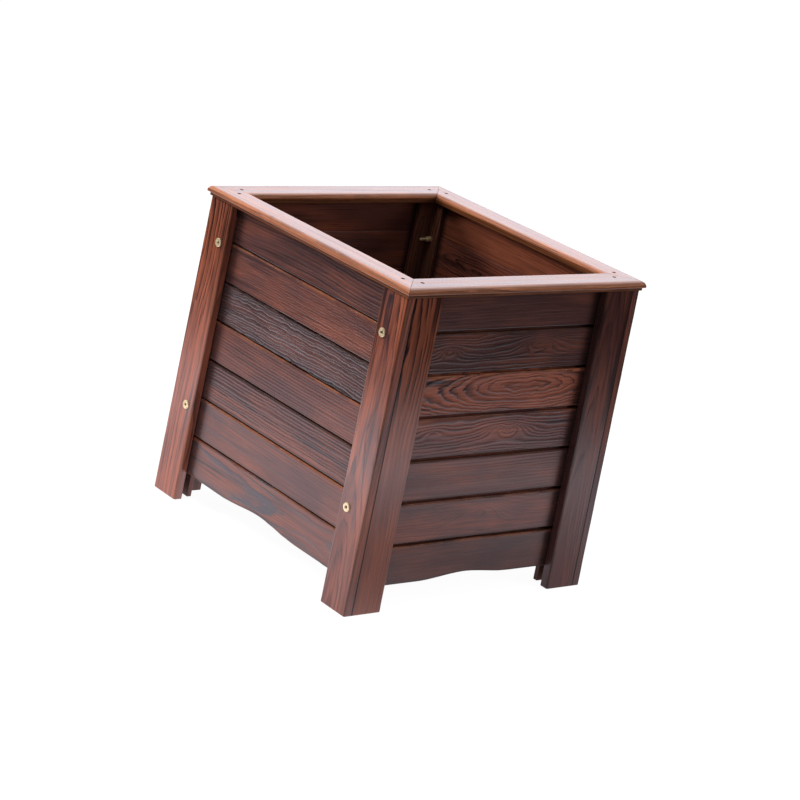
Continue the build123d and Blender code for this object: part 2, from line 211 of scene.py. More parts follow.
def outline(corners, front):
    """Dense closed outline through clockwise (v, w, radius) corners.

    Returns rows of (v, w, normal v, normal w, wear).
    """
    count = len(corners)
    points = []
    worn = [(v, w) for v, w, radius in corners if radius > WORN_FROM]
    for i, (v, w, radius) in enumerate(corners):
        v0, w0, _ = corners[i - 1]
        v1, w1, next_radius = corners[(i + 1) % count]
        length_in = math.hypot(v - v0, w - w0)
        length_out = math.hypot(v1 - v, w1 - w)
        into = ((v - v0) / length_in, (w - w0) / length_in)
        away = ((v1 - v) / length_out, (w1 - w) / length_out)
        normal_in, normal_out = (-into[1], into[0]), (-away[1], away[0])
        if radius:
            centre = (v - into[0] * radius - normal_in[0] * radius,
                      w - into[1] * radius - normal_in[1] * radius)
            first = math.atan2(normal_in[1], normal_in[0])
            for k in range(ARC_STEPS + 1):
                angle = first - math.pi / 2 * k / ARC_STEPS
                c, s = math.cos(angle), math.sin(angle)
                points.append((centre[0] + radius * c, centre[1] + radius * s, c, s))
        else:
            nv, nw = normal_in[0] + normal_out[0], normal_in[1] + normal_out[1]
            size = math.hypot(nv, nw)
            points.append((v, w, nv / size, nw / size))
        step = STEP_ACROSS if max(w, w1) > front - MM / 10 else STEP_HIDDEN
        free = length_out - radius - next_radius
        parts = max(1, round(free / step))
        for k in range(1, parts):
            reach = radius + free * k / parts
            points.append((v + away[0] * reach, w + away[1] * reach, *normal_out))
    rows = []
    for v, w, nv, nw in points:
        far = min((math.hypot(v - a, w - b) for a, b in worn), default=1.0)
        wear = min(1.0, max(0.0, 1 - (far - WEAR_FULL) / WEAR_REACH))
        rows.append((v, w, nv, nw, wear))
    return np.array(rows)


def stations(length):
    """Places along a board, and how far the section is drawn in at each."""
    count = round((length - 2 * END_ROUND) / STEP_ALONG)
    inner = np.linspace(-length / 2 + END_ROUND, length / 2 - END_ROUND, count + 1)
    near = length / 2 - END_ROUND * END_CHAMFER
    u = np.concatenate(([-length / 2, -near], inner, [near, length / 2]))
    inset = np.zeros(len(u))
    inset[[0, -1]] = END_ROUND
    inset[[1, -2]] = END_ROUND * END_CHAMFER
    return u, inset


def tube_mesh(name, points):
    """Mesh over a grid of points, closed round its second axis and capped at both ends."""
    rows, cols = points.shape[:2]
    i, j = np.meshgrid(np.arange(rows - 1), np.arange(cols), indexing="ij")
    k = (j + 1) % cols
    quads = np.stack((i * cols + j, (i + 1) * cols + j, (i + 1) * cols + k, i * cols + k), -1)
    first_cap = np.arange(cols)
    last_cap = (rows - 1) * cols + np.arange(cols)[::-1]
    loops = np.concatenate((quads.ravel(), first_cap, last_cap))
    count = quads.shape[0] * quads.shape[1]
    starts = np.concatenate((np.arange(count) * 4, [count * 4, count * 4 + cols]))
    mesh = bpy.data.meshes.new(name)
    mesh.vertices.add(rows * cols)
    mesh.vertices.foreach_set("co", points.astype(np.float32).ravel())
    mesh.loops.add(len(loops))
    mesh.loops.foreach_set("vertex_index", loops.astype(np.int32))
    mesh.polygons.add(count + 2)
    mesh.polygons.foreach_set("loop_start", starts.astype(np.int32))
    smooth = np.ones(count + 2, bool)
    smooth[-2:] = False
    mesh.polygons.foreach_set("use_smooth", smooth)
    mesh.update(calc_edges=True)
    mesh.validate()
    return mesh


def add_attribute(mesh, name, kind, values):
    attribute = mesh.attributes.new(name, kind, "POINT")
    field = "vector" if kind == "FLOAT_VECTOR" else "value"
    attribute.data.foreach_set(field, values.astype(np.float32).ravel())


ARCH_HEIGHT = 14.0 * MM       # more than the rise of the arch under an apron


def lower_edge(node, axis):
    """Heights of a node's lower edge, as (places along an axis, heights)."""
    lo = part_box(node)[0]
    lowest = {}
    for vertex in frame["nodes"][node].data.vertices:
        if vertex.co.z < lo.z + ARCH_HEIGHT:
            key = round(vertex.co[axis], 3)
            lowest[key] = min(lowest.get(key, 1.0), vertex.co.z)
    keys = sorted(lowest)
    return np.array(keys), np.array([lowest[k] for k in keys])


def stile_corners(width, thickness, hand, lapped):
    """Section of a stile. hand is the side of its panel: -1 left, 1 right.

    Across runs to the panel's left, so a right-hand stile has its outer edge at -v.
    """
    v, w = width / 2, thickness / 2
    outer = STILE_ARRIS if lapped else HIDDEN_ARRIS
    left, right = (outer, STILE_ARRIS) if hand > 0 else (STILE_ARRIS, outer)
    return [(-v, w, left), (v, w, right), (v, -w, HIDDEN_ARRIS), (-v, -w, HIDDEN_ARRIS)]


def slat_corners(low, high, thickness, gap, tongue, rebate):
    """Section of a slat from its face edges low to high, with its shiplap."""
    w = thickness / 2
    step = TONGUE - w
    corners = [(low, w, ARRIS), (high, w, ARRIS)]
    if tongue:
        tip = high + gap + LAP
        corners += [(high, step, 0), (tip, step, HIDDEN_ARRIS), (tip, -w, HIDDEN_ARRIS)]
    else:
        corners += [(high, -w, HIDDEN_ARRIS)]
    if rebate:
        seat, wall = low + LAP + LAP_CLEARANCE, step + LAP_CLEARANCE
        corners += [(seat, -w, HIDDEN_ARRIS), (seat, wall, 0), (low, wall, HIDDEN_ARRIS)]
    else:
        corners += [(low, -w, HIDDEN_ARRIS)]
    return corners


FIBRE_SEEDS = 900             # from the seed of a board's rings to that of its fibres
FIBRE_SHIFT = 8.0             # how far the fibre noises of two boards may be apart, either way


def build_board(node, turn, upright, corners_of, figure_name, look, seed, arched=False,
                eyes=(), sheltered=None, joint=None):
    """Dense board in place of a CAD node, with its rings, relief, wear and painted shade in
    the mesh.

    corners_of gives the corners of its section. sheltered is where a stile starts to cover
    a slat, negative where the left-hand stile shelters it; painted shade runs out from there.
    joint gives how far points of a stile's section are from the next stile, for the painted
    shade along that joint.
    """
    a = math.radians(turn)
    right = Vector((round(math.cos(a)), round(math.sin(a)), 0))
    out = Vector((round(math.sin(a)), -round(math.cos(a)), 0))
    up = Vector((0, 0, 1))
    along, across = (up, -right) if upright else (right, up)
    lo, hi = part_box(node)
    centre, size = (lo + hi) / 2, hi - lo
    length, width, thickness = (abs(size.dot(d)) for d in (along, across, out))

    rim = outline(corners_of(width, thickness), thickness / 2)
    normal_v, normal_w = rim[None, :, 2], rim[None, :, 3]
    u, inset = stations(length)
    U = np.repeat(u[:, None], len(rim), 1)
    V = rim[None, :, 0] - inset[:, None] * normal_v
    W = rim[None, :, 1] - inset[:, None] * normal_w
    if arched:
        axis = 0 if abs(right.x) > 0.5 else 1
        places, heights = lower_edge(node, axis)
        world_u = centre[axis] + U * right[axis]
        lift = np.interp(world_u[:, 0], places, heights)[:, None] - lo.z
        V = width / 2 - (width / 2 - V) * (width - lift) / width

    table = noise_table(seed)
    figure = FIGURES[figure_name]
    rings = growth(U / MM, V / MM, W / MM, figure, table, eyes)
    long, wide, deep = SWELL_SIZES
    swell = noise(table, U / MM / long, V / MM / wide, W / MM / deep)
    relief = figure["relief"] * (latewood(rings) - 0.5) + SWELL * swell
    relief = relief * np.clip((length / 2 - np.abs(U)) / RELIEF_END, 0, 1)
    relief = relief * np.where(W > thickness / 2 - RELIEF_DEPTH, 1.0, HIDDEN_RELIEF) * MM
    V2, W2 = V + relief * normal_v, W + relief * normal_w

    axes = np.array([along[:], across[:], out[:]])
    points = np.array(centre[:]) + np.stack((U, V2, W2), -1) @ axes
    mesh = tube_mesh(node + "_board", points)
    generator = np.random.default_rng(seed + FIBRE_SEEDS)
    offset = generator.uniform(-FIBRE_SHIFT, FIBRE_SHIFT, 3)
    add_attribute(mesh, "growth", "FLOAT", rings)
    add_attribute(mesh, "fibre", "FLOAT_VECTOR", np.stack((U, V, W), -1) + offset)
    fade = STILE_FADE * (U / length - 0.5) if upright else 0.0
    long, wide, deep = FIGURE_SIZES
    drift = noise(table, U / MM / long + 21, V / MM / wide, W / MM / deep)
    strength = FIGURE_STRENGTH + fade + FIGURE_DRIFT * drift
    add_attribute(mesh, "figure", "FLOAT", np.clip(strength, *FIGURE_LIMITS))
    edge = np.repeat(rim[None, :, 4], len(u), 0)
    # a slat's lower arris faces down: it gets less wear and more painted shade
    worn = edge if upright else np.where(V < 0, LOWER_WEAR_AND_SHADE * edge, edge)
    add_attribute(mesh, "edge", "FLOAT", worn)
    # painted shade: unworn arrises, slat ends beside the stiles and both sides of a joint
    # between stiles
    painted_shade = edge
    if sheltered:
        reach = np.where(U * sheltered > 0, PAINTED_SHADE_REACH, PAINTED_SHADE_SHORT)
        painted_shade = np.maximum(painted_shade, np.clip(1 - (abs(sheltered) - np.abs(U)) / reach, 0, 1))
    # painted shade along the joint with the next stile
    if joint:
        dark = 1 - (joint(V, W, width, thickness) - JOINT_DARK) / JOINT_DARK
        painted_shade = np.maximum(painted_shade, np.clip(dark, 0, 1))
    add_attribute(mesh, "painted_shade", "FLOAT", painted_shade)
    # faces of stiles, whose shine over their height is a painted reflection
    stile_face = np.where(normal_w > FACE_TURN, float(upright), 0.0)
    add_attribute(mesh, "stile_face", "FLOAT", np.repeat(stile_face, len(u), 0))
    mesh.materials.append(board_wood)
    board = bpy.data.objects.new(node + "_board", mesh)
    bpy.context.scene.collection.objects.link(board)
    for key, value in look.items():
        board[key] = float(value)
    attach(board, "root")
    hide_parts(node)


# ---- node helpers ----

def add(tree, kind, inputs=(), **settings):
    """New shader node: settings are its properties, inputs its sockets or their values."""
    made = tree.nodes.new(kind)
    for key, value in settings.items():
        setattr(made, key, value)
    pairs = inputs.items() if isinstance(inputs, dict) else enumerate(inputs)
    for key, value in pairs:
        if isinstance(value, bpy.types.NodeSocket):
            tree.links.new(value, made.inputs[key])
        elif value is not None:
            made.inputs[key].default_value = value
    return made


def maths(tree, operation, *values, clamp=False):
    return add(tree, "ShaderNodeMath", values, operation=operation, use_clamp=clamp).outputs[0]


def attribute(tree, name, kind="GEOMETRY"):
    return add(tree, "ShaderNodeAttribute", attribute_name=name, attribute_type=kind)


def object_place(tree):
    """Sockets of x, y and z in the object's own frame, which is the frame of the CAD."""
    place = add(tree, "ShaderNodeTexCoord").outputs["Object"]
    return add(tree, "ShaderNodeSeparateXYZ", (place,)).outputs


def smooth_range(tree, value, low, high, to_low=0.0, to_high=1.0):
    """Value eased from one range to another."""
    inputs = (value, low, high, to_low, to_high)
    made = add(tree, "ShaderNodeMapRange", inputs, interpolation_type="SMOOTHSTEP")
    return made.outputs[0]


def texture(tree, vector, scale, detail=2.0, rough=0.5):
    """Noise between 0 and 1 over a vector stretched by a three-way scale."""
    stretched = add(tree, "ShaderNodeVectorMath", (vector, scale), operation="MULTIPLY")
    inputs = {"Vector": stretched.outputs[0], "Scale": 1.0, "Detail": detail,
              "Roughness": rough}
    return add(tree, "ShaderNodeTexNoise", inputs).outputs["Fac"]


def ramp(tree, value, stops):
    """Grey ramp through (place, level) stops."""
    made = add(tree, "ShaderNodeValToRGB", (value,))
    elements = made.color_ramp.elements
    while len(elements) < len(stops):
        elements.new(0.5)
    for element, (place, level) in zip(elements, stops):
        element.position = place
        element.color = (level, level, level, 1)
    return made.outputs["Color"]


def mix(tree, amount, first, second, blend="MIX"):
    made = add(tree, "ShaderNodeMix", data_type="RGBA", blend_type=blend)
    sockets = {s.identifier: s for s in made.inputs}
    for key, value in (("Factor_Float", amount), ("A_Color", first), ("B_Color", second)):
        if isinstance(value, bpy.types.NodeSocket):
            tree.links.new(value, sockets[key])
        else:
            sockets[key].default_value = (*value, 1) if isinstance(value, tuple) else value
    return next(s for s in made.outputs if s.identifier == "Result_Color")


def new_material(name):
    material = bpy.data.materials.new(name)
    material.use_nodes = True
    tree = material.node_tree
    tree.nodes.clear()
    surface = add(tree, "ShaderNodeBsdfPrincipled")
    out = add(tree, "ShaderNodeOutputMaterial")
    tree.links.new(surface.outputs[0], out.inputs["Surface"])
    return material, tree, surface


# ---- wood materials ----

# Marks in the wood are noises over board coordinates in metres, each given as its stretch
# along, across and out of the board, its detail and its roughness. A higher stretch is finer.
HAIR = ((11.0, 400.0, 400.0), 3.0, 0.65)      # single fibres
STREAK = ((2.6, 105.0, 105.0), 3.0, 0.6)      # narrow dark streaks
CLUSTER = ((3.0, 34.0, 34.0), 2.0)            # where streaks gather
CLOUD = ((6.0, 20.0, 20.0), 2.0)              # drift between the two early colours
FAINT = ((18.0, 45.0, 45.0), 2.0)             # where the rings are broken
PATCH = ((16.0, 30.0, 30.0), 3.0)             # where an arris is worn through
RING_SWAY = ((2.2, 9.0, 9.0), 1.0)            # slow bend of the rings of a CAD board
RING_RIPPLE = ((14.0, 60.0, 60.0), 2.0)       # and their fine one
RIPPLE_SHARE = 0.06                           # size of the fine one against the slow one
PITH_OFFSET = 0.055                           # of a CAD board's rings, from the frame's origin

# Ranges for smooth_range: from, to, and what they become.
FAINT_RANGE = (0.32, 0.55, 0.4)
STREAK_RANGE = (0.46, 0.64)
CLUSTER_RANGE = (0.40, 0.62, 0.15)
WORN_RANGE = (0.42, 0.62, 0.15, 0.95)
SHINE_RANGE = (0.38, 0.62, 0.72, 1.18)        # streaks change the shine of the varnish

# Darkness across one ring, from its start to its end.
RING_PROFILE = [(0.0, 0.15), (0.07, 0.0), (0.38, 0.08), (0.7, 0.6), (0.88, 1.0), (0.96, 1.0),
                (1.0, 0.2)]
RING_FRAY = 0.25                              # how far fibres shift a ring's edge
CLOUD_CONTRAST = 2.4
HAIR_SHADE = (1.7, 0.15)                      # brightness over the fibres: slope and base
SHEEN_GREY_LATE = (0.110, 0.092, 0.105)             # dark of the rings on a grey board, grey-blue as a painted milky sheen on the latewood
# colour and strength of the painted shade
PAINTED_SHADE_COLOUR = (0.012, 0.006, 0.005)
PAINTED_SHADE_STRENGTH = 0.86

# Painted shade under the rim: how far its lower mouldings reach from the inner face, and for
# the outer and inner ones the heights over the board's foot and the levels there; the inner
# level over one is a painted highlight on its arris.
INNER_LIP = 15.0 * MM
OUTER_SHADE = (5.0 * MM, 9.0 * MM, 0.55, 1.0)
INNER_SHADE = (4.0 * MM, 15.0 * MM, 0.28, 1.15)

# What fibres and dark rings add to the roughness, and the share of each mark in the bump.
HAIR_ROUGHNESS = 0.3
RING_ROUGHNESS = -0.08
RING_BUMP, HAIR_BUMP, STREAK_BUMP = 0.4, 0.8, 0.6
BUMP_STRENGTH = 0.6
OIL_IOR = 1.5
OIL_SPECULAR = 0.5
COAT_ROUGHNESS = 0.15

STILE_TOP = 0.582             # height of the stiles
HEAD_HEIGHTS = (0.36, 0.54)   # where a board changes to the painted brightness of its head
FOOT_HEIGHTS = (0.06, 0.30)   # and of its foot
# painted reflection: half the shine of a stile's face against that of a slat, at parts of the
# stile's height; dull at the top under the rim, brightest at mid height
STILE_SHINE = [(0.08, 0.40), (0.22, 0.45), (0.45, 0.85), (0.62, 0.75), (0.85, 0.10)]


def wood_coordinates(tree, grain_axis):
    """Board coordinates in metres, grain first, from the frame that the CAD is in."""
    split = object_place(tree)
    order = {"X": (0, 1, 2), "Y": (1, 0, 2), "Z": (2, 0, 1)}[grain_axis]
    return add(tree, "ShaderNodeCombineXYZ", [split[i] for i in order]).outputs[0]


def shader_growth(tree, fibre, ring, sway):
    """Ring number worked out in the shader, for boards that keep their CAD mesh."""
    broad = texture(tree, fibre, *RING_SWAY)
    fine = texture(tree, fibre, *RING_RIPPLE)
    split = add(tree, "ShaderNodeSeparateXYZ", (fibre,)).outputs
    depth = maths(tree, "ADD", split[2], PITH_OFFSET)
    radius = maths(tree, "SQRT", maths(tree, "ADD", maths(tree, "POWER", depth, 2.0),
                                       maths(tree, "POWER", split[1], 2.0)))
    rings = maths(tree, "DIVIDE", radius, ring)
    rings = maths(tree, "MULTIPLY_ADD", broad, sway, rings)
    return maths(tree, "MULTIPLY_ADD", fine, sway * RIPPLE_SHARE, rings)


def stile_gradients(tree, tone):
    """A board's brightness over its height, painted light and shade at head and foot, and the
    shine of its face against a slat's, a painted reflection.
    """
    height = object_place(tree)[2]
    head, foot = (attribute(tree, key, "OBJECT").outputs["Fac"] for key in ("head", "foot"))
    upper = smooth_range(tree, height, *HEAD_HEIGHTS)
    lower = smooth_range(tree, height, *FOOT_HEIGHTS, 1.0, 0.0)
    change = maths(tree, "MULTIPLY_ADD", head, upper, 1.0)
    change = maths(tree, "MULTIPLY_ADD", foot, lower, change)
    tone = maths(tree, "MULTIPLY", tone, change)
    level = ramp(tree, maths(tree, "DIVIDE", height, STILE_TOP), STILE_SHINE)
    change = maths(tree, "MULTIPLY_ADD", level, 2.0, -1.0)
    stile_face = attribute(tree, "stile_face").outputs["Fac"]
    return tone, maths(tree, "MULTIPLY_ADD", stile_face, change, 1.0)


def darken(tree, base, level):
    """Colour times a brightness."""
    grey = add(tree, "ShaderNodeCombineColor", (level, level, level)).outputs[0]
    return mix(tree, 1.0, base, grey, "MULTIPLY")


def lip_shade(tree, foot, inside):
    """Painted brightness of a rim board: its lower mouldings are in painted shade, and the
    inner arris above them has a painted highlight.
    """
    x, y, z = object_place(tree)
    reach = maths(tree, "MAXIMUM", maths(tree, "ABSOLUTE", x), maths(tree, "ABSOLUTE", y))
    inner = maths(tree, "LESS_THAN", reach, inside + INNER_LIP)
    shades = []
    for low, high, *levels in (OUTER_SHADE, INNER_SHADE):
        shades.append(smooth_range(tree, z, foot + low, foot + high, *levels))
    change = maths(tree, "SUBTRACT", shades[1], shades[0])
    return maths(tree, "MULTIPLY_ADD", inner, change, shades[0])


def wood(name, colours, grain_axis=None, rough=0.34, coat=0.5, ring=0.006, sway=12.0,
         bump_height=0.15 * MM, lip=None):
    """Oiled softwood.

    colours: early, warm early, late, worn arris. Rings, wear and painted shade come from the
    mesh, or from the shader where a grain axis is given. lip: the foot of a rim board and how
    far its inner face is from the middle, for the painted shade on its lower parts.
    """
    early, warm, late, worn_colour = colours
    material, tree, surface = new_material(name)
    if grain_axis:
        fibre = wood_coordinates(tree, grain_axis)
        rings = shader_growth(tree, fibre, ring, sway)
        painted_shade, edge, tone, warmth, contrast, grey = 0.0, 0.0, 1.0, 0.5, 0.8, 0.0
        sheen = 1.0
    else:
        fibre = attribute(tree, "fibre").outputs["Vector"]
        rings, edge, figure, painted_shade = (attribute(tree, key).outputs["Fac"]
                                     for key in ("growth", "edge", "figure", "painted_shade"))
        tone, warmth, contrast, grey, wear = (
            attribute(tree, key, "OBJECT").outputs["Fac"]
            for key in ("tone", "warmth", "contrast", "grey", "wear"))
        edge = maths(tree, "MULTIPLY", edge, wear)
        contrast = maths(tree, "MULTIPLY", contrast, figure)
        tone, sheen = stile_gradients(tree, tone)

    # rings, broken here and there
    hair = texture(tree, fibre, *HAIR)
    loose = maths(tree, "MULTIPLY_ADD", maths(tree, "SUBTRACT", hair, 0.5), RING_FRAY, rings)
    band = ramp(tree, maths(tree, "FRACT", loose), RING_PROFILE)
    faint = smooth_range(tree, texture(tree, fibre, *FAINT), *FAINT_RANGE)
    band = maths(tree, "MULTIPLY", band, faint)
    band = maths(tree, "MULTIPLY", band, contrast)

    # dark streaks
    streak = texture(tree, fibre, *STREAK)
    cluster = smooth_range(tree, texture(tree, fibre, *CLUSTER), *CLUSTER_RANGE)
    streaks = smooth_range(tree, streak, *STREAK_RANGE)
    streaks = maths(tree, "MULTIPLY", streaks, cluster)
    streaks = maths(tree, "MULTIPLY", streaks, contrast)

    # colour
    cloud = maths(tree, "SUBTRACT", texture(tree, fibre, *CLOUD), 0.5)
    share = maths(tree, "MULTIPLY_ADD", cloud, CLOUD_CONTRAST, warmth, clamp=True)
    base = mix(tree, share, early, warm)
    base = mix(tree, streaks, base, late)
    # grey rings stand for a painted sheen on the latewood
    base = mix(tree, band, base, mix(tree, grey, late, SHEEN_GREY_LATE))
    base = darken(tree, base, maths(tree, "MULTIPLY",
                                    maths(tree, "MULTIPLY_ADD", hair, *HAIR_SHADE), tone))
    # painted shade, darkening the wood and dulling its varnish; wear on an arris takes its
    # place
    painted_shade_share = maths(tree, "MULTIPLY", maths(tree, "SUBTRACT", painted_shade, edge), PAINTED_SHADE_STRENGTH)
    base = mix(tree, painted_shade_share, base, PAINTED_SHADE_COLOUR)
    if lip:
        base = darken(tree, base, lip_shade(tree, *lip))
    worn = smooth_range(tree, texture(tree, fibre, *PATCH), *WORN_RANGE)
    base = mix(tree, maths(tree, "MULTIPLY", edge, worn), base, worn_colour)

    # surface
    roughness = maths(tree, "MULTIPLY_ADD", hair, HAIR_ROUGHNESS, rough - HAIR_ROUGHNESS / 2)
    roughness = maths(tree, "MULTIPLY_ADD", band, RING_ROUGHNESS, roughness)
    bumps = maths(tree, "MULTIPLY_ADD", band, RING_BUMP,
                  maths(tree, "MULTIPLY", hair, HAIR_BUMP))
    bumps = maths(tree, "MULTIPLY_ADD", streak, STREAK_BUMP, bumps)
    bump = add(tree, "ShaderNodeBump", {"Strength": BUMP_STRENGTH, "Distance": bump_height,
                                        "Height": bumps}).outputs[0]
    links = {"Base Color": base, "Roughness": roughness, "Normal": bump,
             "Specular IOR Level": maths(tree, "MULTIPLY", sheen, OIL_SPECULAR)}
    if coat:
        shine = maths(tree, "MULTIPLY_ADD", painted_shade_share, -coat, coat)
        shine = maths(tree, "MULTIPLY", shine, sheen)
        gloss = smooth_range(tree, streak, *SHINE_RANGE)
        links["Coat Weight"] = maths(tree, "MULTIPLY", shine, gloss)
    for key, value in links.items():
        tree.links.new(value, surface.inputs[key])
    surface.inputs["IOR"].default_value = OIL_IOR
    surface.inputs["Coat Roughness"].default_value = COAT_ROUGHNESS
    return material


# ---- metals ----

TARNISH = ((260.0,) * 3, 4.0, 0.6)            # noises as for wood
MARKS = ((2340.0,) * 3, 2.0)
TARNISH_RANGE = (0.42, 0.75)
TARNISH_ROUGHNESS = 0.3
MARK_STRENGTH = 0.25
MARK_HEIGHT = 0.2 * MM


def metal(name, colour, dark, rough, metallic=1.0):
    """Plated or coated metal with soft tarnish and fine marks."""
    material, tree, surface = new_material(name)
    place = add(tree, "ShaderNodeTexCoord").outputs["Object"]
    tarnish = texture(tree, place, *TARNISH)
    fine = texture(tree, place, *MARKS)
    base = mix(tree, smooth_range(tree, tarnish, *TARNISH_RANGE), colour, dark)
    roughness = maths(tree, "MULTIPLY_ADD", tarnish, TARNISH_ROUGHNESS, rough)
    bump = add(tree, "ShaderNodeBump", {"Strength": MARK_STRENGTH, "Distance": MARK_HEIGHT,
                                        "Height": fine}).outputs[0]
    for key, value in {"Base Color": base, "Roughness": roughness, "Normal": bump}.items():
        tree.links.new(value, surface.inputs[key])
    surface.inputs["Metallic"].default_value = metallic
    return material


# ---- the object ----

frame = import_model()

EARLY = (0.092, 0.032, 0.026)
WARM = (0.230, 0.066, 0.034)
LATE = (0.014, 0.0060, 0.0062)
WORN = (0.30, 0.100, 0.040)

board_wood = wood("brushed_dark_wood", (EARLY, WARM, LATE, WORN))
# the Y colours, for the left and right rim boards, are darker copies of the X ones: painted
# shade of the less lit side
rim_colours = {"X": ((0.30, 0.095, 0.038), (0.42, 0.145, 0.055), (0.15, 0.045, 0.020), WORN),
               "Y": ((0.24, 0.082, 0.036), (0.35, 0.125, 0.050), (0.11, 0.036, 0.018), WORN)}
rim_lo, rim_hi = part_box("rim_board_front")
rim_lip = (rim_lo.z, -rim_hi.y)
rim_wood = {axis: wood("rim_wood_" + axis, colours, axis, rough=0.30, coat=0.8, ring=0.009,
                       sway=3.0, bump_height=0.06 * MM, lip=rim_lip)
            for axis, colours in rim_colours.items()}
inner_colours = ((0.10, 0.036, 0.022), (0.18, 0.060, 0.028), (0.022, 0.009, 0.007), WORN)
inner_wood = {axis: wood("inner_wood_" + axis, inner_colours, axis, rough=0.6, coat=0.0)
              for axis in ("X", "Y", "Z")}
brass = metal("plated_brass", (0.94, 0.80, 0.50), (0.60, 0.46, 0.24), 0.25, 0.7)
screw_steel = metal("dark_screw_steel", (0.030, 0.026, 0.024), (0.012, 0.010, 0.009), 0.5)
browned_steel = metal("browned_screw_steel", (0.100, 0.050, 0.030), (0.050, 0.024, 0.015), 0.5,
                      metallic=0.3)

# Figure of each board, then its brightness, warmth, ring contrast, greyness (a painted sheen
# on the rings) and wear, and for some stiles how much brighter the head and the foot are,
# painted light and shade. Slats are listed from the top down.
SLAT_LOOKS = {
    "front": [("streaky", 0.88, 0.15, 0.9, 0.2, 0.25), ("fine", 1.0, 0.25, 0.7, 0.2, 0.6),
              ("wavy", 0.72, 0.0, 1.0, 1.0, 0.05), ("plain", 1.03, 0.15, 0.55, 0.1, 0.75),
              ("streaky", 0.98, 0.2, 0.95, 0.1, 0.1), ("plain", 0.90, 0.35, 0.4, 0.1, 0.6),
              ("bold", 0.70, 0.85, 1.0, 0.5, 0.5)],
    "right": [("plain", 0.64, 0.0, 0.15, 0.2, 0.2), ("eye", 0.62, 0.2, 0.8, 0.1, 0.1),
              ("cathedral", 1.15, 1.0, 1.0, 0.0, 0.7), ("eye", 1.25, 0.3, 0.8, 0.1, 0.3),
              ("plain", 1.0, 0.1, 0.3, 0.3, 0.1), ("eye", 1.12, 0.35, 0.6, 0.2, 0.3),
              ("plain", 0.60, 0.2, 0.35, 0.1, 0.5)],
    # the top back slat's low brightness is painted shade from the rim above it
    "back": [("plain", 0.78, 1.0, 0.5, 0.0, 0.5), ("cathedral", 0.95, 0.7, 0.8, 0.0, 0.4),
             ("streaky", 1.1, 0.4, 0.7, 0.0, 0.6), ("wavy", 0.8, 0.1, 0.9, 0.8, 0.1),
             ("fine", 1.0, 0.6, 0.6, 0.0, 0.5), ("eye", 1.2, 0.5, 0.8, 0.1, 0.4),
             ("bold", 1.1, 0.6, 0.9, 0.4, 0.6)],
    "left": [("plain", 0.8, 0.3, 0.5, 0.0, 0.5), ("bold", 1.0, 0.4, 0.8, 0.4, 0.3),
             ("streaky", 1.1, 0.5, 0.8, 0.1, 0.6), ("fine", 1.0, 0.3, 0.6, 0.0, 0.2),
             ("cathedral", 1.4, 0.8, 0.9, 0.0, 0.7), ("wavy", 0.8, 0.1, 0.9, 0.8, 0.2),
             ("streaky", 1.1, 0.5, 0.7, 0.1, 0.5)],
}
STILE_LOOKS = {
    "front_left": ("striped", 1.3, 1.1, 1.0, 0.0, 0.7, -0.28, -0.06),
    "front_right": ("flame", 1.25, 0.75, 0.85, 0.12, 0.6, 0.0, -0.24),
    "right_left": ("striped", 1.08, 1.0, 1.0, 0.0, 0.5, -0.22, -0.26),
    "right_right": ("flame", 0.80, 0.1, 0.8, 0.1, 0.2, -0.22, 0.08),
    "back_left": ("flame", 0.84, 0.2, 0.7, 0.1, 0.3, 0.0, -0.3),
    "back_right": ("striped", 1.2, 0.6, 0.9, 0.1, 0.6),
    "left_left": ("striped", 1.2, 0.7, 0.9, 0.1, 0.5),
    "left_right": ("flame", 1.2, 0.6, 0.9, 0.1, 0.5),
}
# knots' eyes in the figure: place along and across, half length, half width, height in rings
EYES = {
    "right_slat_4": [(38, 0, 46, 14, 6.0), (-150, 4, 30, 10, 2.5)],
    "right_slat_6": [(10, 4, 55, 16, 5.0)],
    "right_slat_2": [(75, 6, 46, 14, 6.0), (-150, -2, 30, 12, 4.0)],
    "back_slat_6": [(-70, 3, 30, 12, 4.0)],
}


def named(look):
    """The numbers of a look as properties of a board."""
    return dict(zip(("tone", "warmth", "contrast", "grey", "wear", "head", "foot"), look))


SLATS = 6                     # plain slats of a panel, above its apron
PANEL_SEEDS = 100             # between the seeds of two panels
STILE_SEEDS = 50              # from the seed of a panel's slats to that of its stiles


def dress_panel(panel, turn, seed):
    """Replaces one wall's stiles and slats with dense boards."""
    gap = JOINT_GAP[panel]
    axis = 0 if panel in LAPPED else 1
    # the stile's inner edge; slat ends beside it get painted shade, further beside the stile
    # that shadows them
    sheltered = min(abs(corner[axis]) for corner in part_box(f"{panel}_stile_right"))
    sheltered *= -1 if panel in LAPPED else 1
    names = [f"{panel}_slat_{i + 1}" for i in range(SLATS)] + [f"{panel}_apron"]
    for index, (node, (figure, *look)) in enumerate(zip(names, SLAT_LOOKS[panel])):
        tongue, rebate = index > 0, index < len(names) - 1

        def corners_of(width, thickness):
            high = width / 2 - (gap + LAP if tongue else 0)
            return slat_corners(-width / 2, high, thickness, gap, tongue, rebate)

        build_board(node, turn, False, corners_of, figure, named(look), seed + index,
                    arched=not rebate, eyes=EYES.get(node, ()), sheltered=sheltered)
    for index, (side, hand) in enumerate((("left", -1), ("right", 1))):
        figure, *look = STILE_LOOKS[f"{panel}_{side}"]

        def corners_of(width, thickness):
            return stile_corners(width, thickness, hand, panel in LAPPED)

        # distance from the next stile, for the painted shade along their joint
        def joint(v, w, width, thickness):
            return w + thickness / 2 if panel in LAPPED else width / 2 + hand * v

        build_board(f"{panel}_stile_{side}", turn, True, corners_of, figure, named(look),
                    seed + STILE_SEEDS + index, joint=joint)


